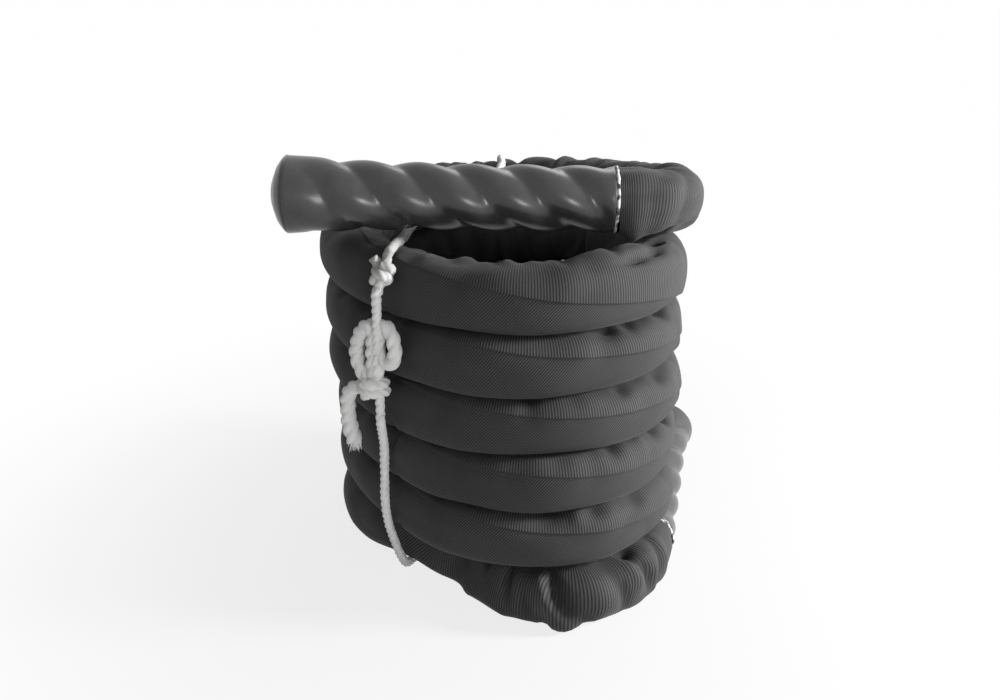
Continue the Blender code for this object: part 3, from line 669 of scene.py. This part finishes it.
# No fold goes past the plane where it meets the next turn, or into the cord that ties it.
most = np.where(wrapped > 0, above[:, None], below[:, None]) / np.maximum(np.abs(np.sin(phi)), 0.02)
distance = np.minimum(distance, np.maximum(most, sleeveForm["leastOut"]))
shareOfTurn = turn - np.floor(turn)
tied = sum(np.exp(-(((shareOfTurn - at) / wide) ** 2)) for at, wide in sleeveForm["tieMarks"])
tied = np.where((turn > -0.3) & (turn < ropeLay["lastTurn"]), tied, 0)[:, None]
tied = tied * window(np.degrees(wrapped), *sleeveForm["tieSpan"])
untied = sleeveForm["tiedOut"] + (1 - np.clip(tied, 0, 1)) * sleeveForm["freeMore"]
distance = np.minimum(distance, np.minimum(untied, sleeveForm["mostOut"]))
# Hollows lie lower than the cloth before and behind them, and the fabric paints shade into them.
reachRows = sleeveForm["hollowRows"]
padded = np.pad(distance, ((reachRows, reachRows), (0, 0)), mode="edge")
sums = np.vstack([np.zeros((1, columns)), np.cumsum(padded, axis=0)])
evened = (sums[2 * reachRows + 1:] - sums[:-2 * reachRows - 1]) / (2 * reachRows + 1)
hollows = np.clip((evened - distance) / sleeveForm["hollowDepth"], 0, 1)
sleeveGrid = ringsRound(centres, distance, phi, side, upward)
sleeveGrid[:, :, 2] = np.maximum(sleeveGrid[:, :, 2], 0.0003)

# The top turn gives way under the grip that lies on it.
cuffX, cuffY, cuffZ = topGrip["cuff"]
gripAxis = np.array([cuffY, cuffZ])
fromAxis = sleeveGrid[:, :, 1:] - gripAxis
fromAxisLength = np.linalg.norm(fromAxis, axis=2)
besideGrip = (sleeveGrid[:, :, 0] < cuffX - 0.004) & (turn > -0.45)[:, None]
gripShare = np.clip((cuffX - sleeveGrid[:, :, 0]) / topGrip["length"], 0, 1)
gripReach = sleeveForm["underGrip"] + sleeveForm["underFlare"] * np.clip((gripShare - 0.4) / 0.6, 0, 1) ** 2
pressed = np.where(besideGrip & (fromAxisLength < gripReach), gripReach / fromAxisLength, 1)
sleeveGrid[:, :, 1:] = gripAxis + fromAxis * pressed[:, :, None]
sleeveNormals = gridNormals(sleeveGrid)

# The ribs slant under the crease and lie closer at the cuff of the top grip.
under = np.degrees(np.clip(-fromCrease, 0, None))
skewFrom = sleeveForm["skewDegrees"]
skewShare = np.radians(np.minimum(under, skewFrom) * np.clip((180 - under) / (180 - skewFrom), 0, 1))
halfRope = ropeLay["sleeve"] / 2
sleeveU = (run + sleeveForm["cuffWeave"] * np.minimum(run, sleeveForm["cuffRun"]))[:, None]
sleeveU = sleeveU + skewShare * halfRope * sleeveForm["skew"] * creased
sleeveV = np.broadcast_to(fromCrease * halfRope, sleeveU.shape)
roundRope = math.pi * ropeLay["sleeve"]

sleevePieces = [
    ("topBendSleeve", 0, cuts[0], "top_bend_sleeve"),
    ("coilSleeve", cuts[0], cuts[1], "coil_sleeve"),
    ("tailSleeve", cuts[1], cuts[2], "tail_sleeve"),
    ("floorBendSleeve", cuts[2], rows - 1, "floor_bend_sleeve"),
]
sleeves = {}
for name, first, last, node in sleevePieces:
    part = slice(first, last + 1)
    creaseHere = np.broadcast_to(creased[part], sleeveU[part].shape)
    piece = gridMesh(
        name, sleeveGrid[part], sleeveU[part], sleeveV[part], roundRope, sleeveFabric, sleeveNormals[part],
        marks=[("creaseShare", creaseHere), ("hollowShadeMask", hollows[part])],
    )
    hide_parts(node, node.replace("_sleeve", "_core"))
    sleeves[name] = piece
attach(sleeves["coilSleeve"], "coil")
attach(sleeves["tailSleeve"], "coil")
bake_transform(sleeves["topBendSleeve"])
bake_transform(sleeves["floorBendSleeve"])
coilPart = slice(cuts[0], cuts[1] + 1)
print("sleeve made,", rows, "rings of", columns)


# Frames that turn as little as they can along a cord.
def cordFrames(points):
    ahead = unit(np.gradient(points, axis=0))
    sides = [unit(np.cross(ahead[0], [0.31, 0.17, 0.93]))]
    for way in ahead[1:]:
        sides.append(unit(sides[-1] - way * (sides[-1] @ way)))
    sides = np.array(sides)
    return sides, np.cross(ahead, sides)


# A cord of three laid strands along a way. Its thickness and lay are shares of the tie's.
def layCord(name, way, node, wide=1, lay=1, swellEnd=0):
    points = way if isinstance(way, np.ndarray) else smoothWay(way, tieCord["step"])
    cordThick = tieCord["thick"] * wide
    sides, ups = cordFrames(points)
    run = runOf(points)[:, None]
    angle = 2 * math.pi * np.arange(tieCord["around"])[None, :] / tieCord["around"]
    twisted = angle - 2 * math.pi * run / (tieCord["lay"] * lay)
    lobe = np.abs(np.cos(1.5 * twisted))
    radius = cordThick / 2 * (0.77 + 0.30 * lobe ** 0.8)
    radius = radius * (1 + 0.03 * softNoise(radius.shape, (0.0011, 0.26), (0.004, 0.5), 7))
    radius = radius * (1 + swellEnd * (run / run[-1]) ** 4)
    grid = ringsRound(points, radius, angle, sides, ups)
    mapU = np.broadcast_to(run, radius.shape)
    mapV = twisted * cordThick / 2
    piece = gridMesh(name, grid, mapU, mapV, math.pi * cordThick, cordFibre, closeEnds=True)
    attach(piece, "coil")
    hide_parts(node)
    return piece


# The tie: one cord round all the turns, drawn up in two knots.
thick = tieCord["thick"]
knots = {
    "wrapPitch": 0.0090, "upperWraps": 2.0, "lowerWraps": 2.5,
    "upperShown": (1.8, 0.60, 0.0080), "lowerShown": (1.9, 1.05, 0.0075),
    "lowerMoved": (0.0055, 0.004), "leanDegrees": 27.0, "lowerHeight": 0.222,
    "clearance": 0.0007, "apart": 0.0004, "bowHeight": 0.062, "rightBow": 0.84,
    "rightFoot": 0.0017, "frayedLength": 0.058, "cutLength": 0.014, "loopEnds": 0.0008,
    "backX": 0.001,
}
leftShares = [
    (0.06, -0.06), (0.09, 0.12), (0.105, 0.28), (0.105, 0.52), (0.10, 0.70), (0.15, 0.80), (0.26, 0.74),
    (0.37, 0.60), (0.42, 0.40), (0.40, 0.24), (0.32, 0.09), (0.20, -0.02), (0.08, -0.06),
]
rightShares = [
    (-0.04, -0.05), (-0.02, 0.20), (-0.01, 0.55), (0.01, 0.80), (0.07, 0.93), (0.17, 0.95), (0.27, 0.86),
    (0.34, 0.68), (0.36, 0.50), (0.32, 0.36), (0.22, 0.29), (0.11, 0.32), (0.02, 0.42),
]
frayedShares = [
    (-0.06, 0.02), (0.12, 0.02), (0.30, -0.04), (0.43, -0.20), (0.46, -0.50), (0.43, -0.80), (0.35, -1.00),
]
cutShares = [(-0.95, 0.15), (-0.65, 0.50), (-0.42, 0.78), (-0.30, 0.92)]
sleeve, up = ropeLay["sleeve"], Vector((0, 0, 1))
lift = ropeLay["coilFlat"] + tieCord["clearance"] + thick / 2
crossing = coilPoint(ropeLay["gripCrossing"])
topTurn = coilPoint(ropeLay["tieTopTurn"])
overTurn = coilPoint(ropeLay["tieTurn"])
tieSide = Vector((topTurn.x, topTurn.y, 0)).normalized()
frontTop = topTurn + tieSide * tieReach
left = tieSide.cross(up)
knotCore = thick / 2 + knots["clearance"]
knotOuter = knotCore + thick
lean = math.radians(knots["leanDegrees"])
leanOut = tieSide * math.cos(lean) + up * math.sin(lean)
leanUp = up * math.cos(lean) - tieSide * math.sin(lean)
upperKnot = topTurn + leanOut * (ropeLay["coilFlat"] + tieCord["clearance"] + knotOuter)
halfUpper = (knots["upperWraps"] * knots["wrapPitch"] + thick) / 2
upperEnd = upperKnot + leanUp * (halfUpper + knotCore)
fall = (frontLow - frontTop) / (frontTop.z - frontLow.z)
lowStart = frontTop + fall * (frontTop.z - knots["lowerHeight"])
lowerKnot = lowStart + tieSide * (knotOuter - thick / 2)
halfLower = (knots["lowerWraps"] * knots["wrapPitch"] + thick) / 2
lowerEnd = lowerKnot - up * (halfLower + knotCore)
between = upperKnot - lowerKnot
runUp = (up * between.z + left * between.dot(left)).normalized()


def wrapsRound(middle, axis, wraps, pull, pitch):
    axis = axis.normalized()
    sideways = axis.cross(Vector((0, 1, 0))).normalized()
    forward = sideways.cross(axis)
    radius = (knotCore + thick / 2) * pull
    points = []
    for i in range(round(wraps * 12) + 1):
        a = 2 * math.pi * i / 12
        along = pitch * (i / 12 - wraps / 2)
        points.append(middle + axis * along + radius * (math.cos(a) * sideways + math.sin(a) * forward))
    return points


def besideKnot(start, shares, size, hand=1, along=up):
    return [start + left * hand * across * size + along * rise * size for across, rise in shares]


def behindCoil(start, steps):
    return [Vector((knots["backX"], start.y + out, start.z + rise)) for out, rise in steps]


back = coilPoint(-0.25)
corner = lift * math.sqrt(0.5) * 1.14
reach = tieReach + 4 * tieCord["clearance"]
floorHeight = thick / 2 + 0.0003
onFloor = up * floorHeight
tailSide = ropeLay["tailFlat"] + tieCord["clearance"] + thick
tailPart = [Vector(p) for p in centres[cuts[1]:cuts[2]] if p[0] < 0]
tailCross = min(tailPart, key=lambda p: (p - floorBack).cross(underWay).length)
crossNear = Vector((tailCross.x, tailCross.y, 0))
loopWay = [
    upperEnd + leanUp * knots["loopEnds"],
    Vector((overTurn.x - 0.0025, overTurn.y, crossing.z + lift + sleeve * 0.03)),
    Vector((crossing.x * 0.755, topGrip["cuff"].y, crossing.z + lift)),
    Vector((crossing.x * 0.62, 0, crossing.z + lift + thick * 0.6)),
    Vector((-0.011, back.y - lift * 2.0, back.z + lift * 0.82)),
    *behindCoil(back, [(-lift * 0.7, lift * 0.95), (0, lift * 1.01)]),
    *behindCoil(back, [(corner, corner), (reach, -sleeve * 0.2)]),
    *behindCoil(backLow, [(reach, sleeve), (reach, 0), (reach * 0.7, -backLow.z * 0.75)]),
    floorBack + onFloor,
    floorBack.lerp(floorFront, 0.4) + onFloor,
    crossNear - underWay * thick + onFloor,
    crossNear + underWay * tailSide * 0.30 + onFloor,
    crossNear + underWay * tailSide * 0.92 + up * tailCross.z * 0.50,
    frontLow - up * sleeve * 0.1 + left * 0.003,
    frontLow + (lowStart - frontLow) * 0.5 + left * 0.004,
    lowerEnd - up * thick * 1.2,
    lowerEnd - up * knots["loopEnds"],
]
loopPoints = smoothWay(loopWay, tieCord["loopStep"])
loopPoints[:, 2] = np.maximum(loopPoints[:, 2], floorHeight)
tieLoop = layCord("tieLoop", loopPoints, "tie_loop")
runWay = [
    lowerEnd, lowerKnot, lowerKnot + up * halfLower * 1.1,
    upperKnot - leanUp * halfUpper * 1.6, upperKnot - leanUp * halfUpper * 1.1, upperEnd,
]
aside, raised = knots["lowerMoved"]
lowerMiddle = lowerKnot + up * raised + left * aside
leftFoot = lowerKnot + up * (halfLower - knots["wrapPitch"] * 0.26 + knots["apart"])
rightFoot = lowerKnot + up * (halfLower + knots["rightFoot"])
rightSize = knots["bowHeight"] * knots["rightBow"]
beside = left * (knotOuter + knots["apart"])
frayedWay = besideKnot(lowerKnot + beside, frayedShares, knots["frayedLength"])
# Name, way, node, and then thickness, lay and swelling at the end where they aren't the tie's own.
tieBits = [
    ("tieFrontRun", runWay, "tie_front_run"),
    ("tieUpperKnot", wrapsRound(upperKnot, leanUp, *knots["upperShown"]), "tie_upper_knot", 1.15),
    ("tieLowerKnot", wrapsRound(lowerMiddle, up + left * 0.12, *knots["lowerShown"]), "tie_lower_knot", 1.15),
    ("tieLeftBow", besideKnot(leftFoot, leftShares, knots["bowHeight"], 1, runUp), "tie_left_bow", 1.62, 1.5),
    ("tieRightBow", besideKnot(rightFoot, rightShares, rightSize, -1, runUp), "tie_right_bow", 1.5, 1.5),
    ("tieFrayedEnd", frayedWay, "tie_frayed_end", 1.6, 1.5, 0.2),
    ("tieCutEnd", besideKnot(upperKnot + beside, cutShares, knots["cutLength"]), "tie_cut_end", 1.15),
]
tiePieces = [layCord(*bit) for bit in tieBits]


# Loose ends of fibre where the cord has come apart.
def fraySpray(cordEnd, count, length, seed):
    chance = np.random.default_rng(seed)
    circle = 2 * math.pi * np.arange(6)[None, :] / 6
    wisps = []
    for i in range(count):
        turned = 2 * math.pi * i / count + chance.uniform(-0.2, 0.2)
        reach = chance.uniform(0.55, 1.0) * length
        away = Vector((math.cos(turned), math.sin(turned), 0)) * thick * chance.uniform(0.25, 0.62)
        start = cordEnd + away * 0.7 + up * 0.004
        bent = away * chance.uniform(0.1, 1.1)
        steps = [(away * 0.3, 0.35), (bent, 0.75), (bent * 1.3, 1)]
        points = smoothWay([start, *(start + out - up * reach * down for out, down in steps)], 0.0016)
        points[:, 2] = np.maximum(points[:, 2], 0.001)
        sides, ups = cordFrames(points)
        fine = chance.uniform(0.0006, 0.0013) * (1 - np.linspace(0, 0.85, len(points)))
        grid = ringsRound(points, fine[:, None], circle, sides, ups)
        along = np.broadcast_to(np.linspace(0, reach, len(points))[:, None], grid.shape[:2])
        across = np.broadcast_to(circle * 0.001, grid.shape[:2])
        wisps.append(gridMesh("tieWisps", grid, along, across, 0.006, cordFibre, closeEnds=True))
    selectOnly(*wisps)
    bpy.ops.object.join()
    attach(wisps[0], "coil")
    return wisps[0]


tiePieces.append(fraySpray(frayedWay[-1], 26, 0.015, 21))
print("tie made")


# The grips: tube shrunk on three laid strands, with a flared, capped end and a bead of glue.
gripForm = {
    "crest": 0.0295, "valley": 0.0044, "crestSoft": (0.02, 0.14, 0.87), "lay": 0.141,
    "around": 96, "rings": 130, "cuffShare": 0.05, "rimShares": (0.80, 0.19), "rim": 0.0345,
    "capDepth": 0.0158, "capStart": 0.985, "capBack": 0.0006, "unevenness": 0.0009,
    "tubeStart": 0.0036,
    "lip": [(0.0006, 0.985), (0.0011, 0.955), (0.0012, 0.90)],
    "cap": [
        (0.05, 1), (0.12, 0.99), (0.20, 0.962), (0.29, 0.915), (0.38, 0.862), (0.47, 0.806), (0.55, 0.752),
        (0.60, 0.7), (0.62, 0.655), (0.68, 0.6), (0.78, 0.5), (0.88, 0.37), (0.95, 0.23), (0.99, 0.1),
    ],
}


def applyPlace():
    bpy.ops.object.transform_apply(location=True, rotation=True, scale=True)


# A primitive turned to the x axis, with its middle at a place along it.
def roundAxis(add, along, **sizes):
    selectOnly()
    add(location=(along, 0, 0), rotation=(0, math.pi / 2, 0), **sizes)
    applyPlace()
    return bpy.context.object


# Points, or edges between two points, that pass a test, selected in edit mode.
def selectPoints(piece, chosen, kind="VERT"):
    bpy.ops.object.mode_set(mode="EDIT")
    bpy.ops.mesh.select_mode(type=kind)
    bpy.ops.mesh.select_all(action="DESELECT")
    bpy.ops.object.mode_set(mode="OBJECT")
    if kind == "EDGE":
        for edge in piece.data.edges:
            edge.select = chosen(*(piece.data.vertices[v].co for v in edge.vertices))
    else:
        for point in piece.data.vertices:
            point.select = chosen(point.co)
    bpy.ops.object.mode_set(mode="EDIT")


# The selected ring is extruded along the grip and drawn in or out round its axis.
def nextRing(along, size, middle):
    bpy.ops.mesh.extrude_region_move(TRANSFORM_OT_translate={"value": (along, 0, 0)})
    bpy.ops.transform.resize(value=(1, size, size), center_override=(middle, 0, 0))


def faceOutwards():
    bpy.ops.mesh.select_all(action="SELECT")
    bpy.ops.mesh.normals_make_consistent(inside=False)
    bpy.ops.object.mode_set(mode="OBJECT")


def displace(piece, name, strength, middle=0.5, group="", cloudScale=None):
    press = piece.modifiers.new(name, "DISPLACE")
    press.vertex_group = group
    press.mid_level = middle
    press.strength = strength
    if cloudScale:
        press.texture = bpy.data.textures.new(name, "CLOUDS")
        press.texture.noise_scale = cloudScale
        press.texture_coords = "LOCAL"
    bpy.ops.object.modifier_apply(modifier=name)


def layGripDown(piece, cuff, heading, name):
    turned = Vector(heading).to_track_quat("X", "Z")
    piece.name = name
    piece.rotation_euler = turned.to_euler()
    piece.location = cuff + ropeLay["place"]
    selectOnly(piece)
    applyPlace()


def makeGripTube(length, phase, flareStart, seed):
    form = gripForm
    start = form["tubeStart"]
    tube = roundAxis(
        bpy.ops.mesh.primitive_cylinder_add, (length + start) / 2,
        vertices=form["around"], radius=form["crest"], depth=length - start, end_fill_type="NOTHING",
    )
    selectPoints(tube, lambda a, b: abs(a.x - b.x) > 0.01, "EDGE")
    bpy.ops.mesh.subdivide(number_cuts=form["rings"])
    faceOutwards()
    # Valleys lie between the strands, and fade where the tube flares to its cap.
    valleys = tube.vertex_groups.new(name="valleys")
    flare = tube.vertex_groups.new(name="flare")
    soft, softLow, softSpan = form["crestSoft"]
    rimFrom, rimSpan = form["rimShares"]
    for point in tube.data.vertices:
        share = (point.co.x - start) / (length - start)
        angle = math.atan2(point.co.z, point.co.y)
        strand = angle - math.radians(phase) - 2 * math.pi * point.co.x / form["lay"]
        crest = (math.sqrt(math.cos(1.5 * strand) ** 2 + soft) - softLow) / softSpan
        cuffShare = min(share / form["cuffShare"], 1)
        rimShare = smoothStep((share - rimFrom) / rimSpan)
        weight = (1 - min(crest, 1)) * (1 - 0.9 * rimShare) * (0.25 + 0.75 * cuffShare)
        valleys.add([point.index], weight, "REPLACE")
        flare.add([point.index], max((share - flareStart) / (1 - flareStart), 0) ** 2, "REPLACE")
    selectOnly(tube)
    displace(tube, "valleys", -form["valley"], 0.0, "valleys")
    displace(tube, "flare", form["rim"] - form["crest"], 0.0, "flare")
    displace(tube, "uneven", form["unevenness"], cloudScale=0.035 + 0.002 * seed)
    # The cut end rolls in over the sleeve.
    selectPoints(tube, lambda p: p.x < start + 0.0003)
    for back, size in form["lip"]:
        nextRing(-back * 0.5, size, start)
    selectPoints(tube, lambda p: p.x > length - 0.0003)
    nextRing(0.0012, 0.975, length)
    faceOutwards()
    bpy.ops.object.shade_smooth()
    tube.vertex_groups.clear()
    tube.data.materials.append(gripRubber)
    return tube


def makeGripCap(length):
    form = gripForm
    face = length - form["capBack"]
    cap = roundAxis(
        bpy.ops.mesh.primitive_circle_add, face,
        vertices=form["around"], radius=form["rim"] * form["capStart"], fill_type="NOTHING",
    )
    bpy.ops.object.mode_set(mode="EDIT")
    bpy.ops.mesh.select_all(action="SELECT")
    lastAlong, lastAcross = 0.0, form["capStart"]
    for along, across in form["cap"]:
        nextRing((along - lastAlong) * form["capDepth"], across / lastAcross, face)
        lastAlong, lastAcross = along, across
    bpy.ops.mesh.extrude_region_move(TRANSFORM_OT_translate={"value": (0.01 * form["capDepth"], 0, 0)})
    bpy.ops.mesh.merge(type="CENTER")
    faceOutwards()
    # The open rim is closed behind the dome.
    selectPoints(cap, lambda p: abs(p.x - face) < 0.0002)
    nextRing(0, 0.8, face)
    bpy.ops.mesh.merge(type="CENTER")
    faceOutwards()
    bpy.ops.object.shade_smooth_by_angle(angle=math.radians(50))
    cap.data.materials.append(capRubber)
    return cap


def makeGlueBead(seed):
    bead = roundAxis(bpy.ops.mesh.primitive_torus_add, glueBead["along"], **glueBead["sizes"])
    displace(bead, "glueRun", glueBead["runDepth"], cloudScale=glueBead["runScale"] + 0.0005 * seed)
    bpy.ops.object.shade_smooth()
    bead.data.materials.append(glueMatter)
    return bead


for number, (name, node, grip, phase, flareStart, body) in enumerate([
    ("topGrip", "top_grip", topGrip, 12.6, 0.45, "top_grip_body"),
    ("floorGrip", "floor_grip", floorGrip, 0.0, 0.75, "floor_grip_body"),
]):
    prefix = node.replace("_grip", "")
    tube = makeGripTube(grip["length"], phase, flareStart, number)
    cap = makeGripCap(grip["length"])
    bead = makeGlueBead(number)
    for piece, kind, stands, slotName in (
        (tube, "Tube", [node, node + "_core"], "grip_tube"),
        (cap, "Cap", [prefix + "_end_cap"], "end_cap"),
        (bead, "Glue", [prefix + "_glue_band"], "glue"),
    ):
        layGripDown(piece, grip["cuff"], grip["heading"], name + kind)
        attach(piece, body)
        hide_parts(*stands)
print("grips made")


# Floor, backdrop and soft light. The paper shows its shadow near the rope and is white away from it.
studio = {
    "floor": {"colour": (0.62, 0.62, 0.62), "Roughness": 0.9, "Specular IOR Level": 0.0},
    "floorSize": 60, "floorWhite": (0.22, 0.75, 0.8, 0.995), "world": 0.22, "aim": (0, 0, 0.2),
    "key": {"place": (1.75, -0.22, 0.80), "size": 0.45, "power": 72.0},
    "front": {"place": (0.45, -1.75, 0.62), "size": 0.4, "power": 7.0},
    "back": {"place": (0.4, 1.3, 1.3), "size": 1.0, "power": 4.5},
}


# How much a ray is one that shows the background itself.
def whiteSeen(tree):
    rays = addNode(tree, "LightPath")
    seen = math2(tree, "ADD", rays.outputs["Is Camera Ray"], rays.outputs["Is Glossy Ray"])
    return math2(tree, "ADD", seen, rays.outputs["Is Transmission Ray"], clamp=True)


def makeFloor():
    bpy.ops.mesh.primitive_plane_add(size=studio["floorSize"])
    floor = bpy.context.object
    floor.name = "studioFloor"
    material, tree, shader = newMaterial("floorPaper", studio["floor"])
    glow = addNode(tree, "Emission", Color=(1, 1, 1, 1), Strength=1.0)
    mix = addNode(tree, "MixShader")
    away = addNode(tree, "VectorMath", operation="LENGTH")
    tree.links.new(objectPlace(tree), away.inputs[0])
    whiteness = mapRange(tree, away.outputs["Value"], studio["floorWhite"], "SMOOTHSTEP")
    tree.links.new(times(tree, whiteSeen(tree), whiteness), mix.inputs[0])
    tree.links.new(shader.outputs[0], mix.inputs[1])
    tree.links.new(glow.outputs[0], mix.inputs[2])
    tree.links.new(mix.outputs[0], tree.nodes["Material Output"].inputs[0])
    floor.data.materials.append(material)


def makeWorld():
    world = bpy.data.worlds.new("studioWorld")
    bpy.context.scene.world = world
    world.use_nodes = True
    tree = world.node_tree
    ground = tree.nodes["Background"]
    ground.inputs["Color"].default_value = (1, 1, 1, 1)
    strength = math2(tree, "MULTIPLY_ADD", whiteSeen(tree), 1 - studio["world"], studio["world"])
    tree.links.new(strength, ground.inputs["Strength"])


def addLight(name, spec):
    bpy.ops.object.light_add(type="AREA", location=spec["place"])
    light = bpy.context.object
    light.name = name
    light.data.shape = "DISK"
    light.data.size = spec["size"]
    light.data.energy = spec["power"]
    aim = Vector(studio["aim"]) - Vector(spec["place"])
    light.rotation_euler = aim.to_track_quat("-Z", "Y").to_euler()


makeFloor()
makeWorld()
for name in ("key", "front", "back"):
    addLight(name + "Light", studio[name])
bpy.context.scene.view_settings.view_transform = "Standard"
print("studio made")
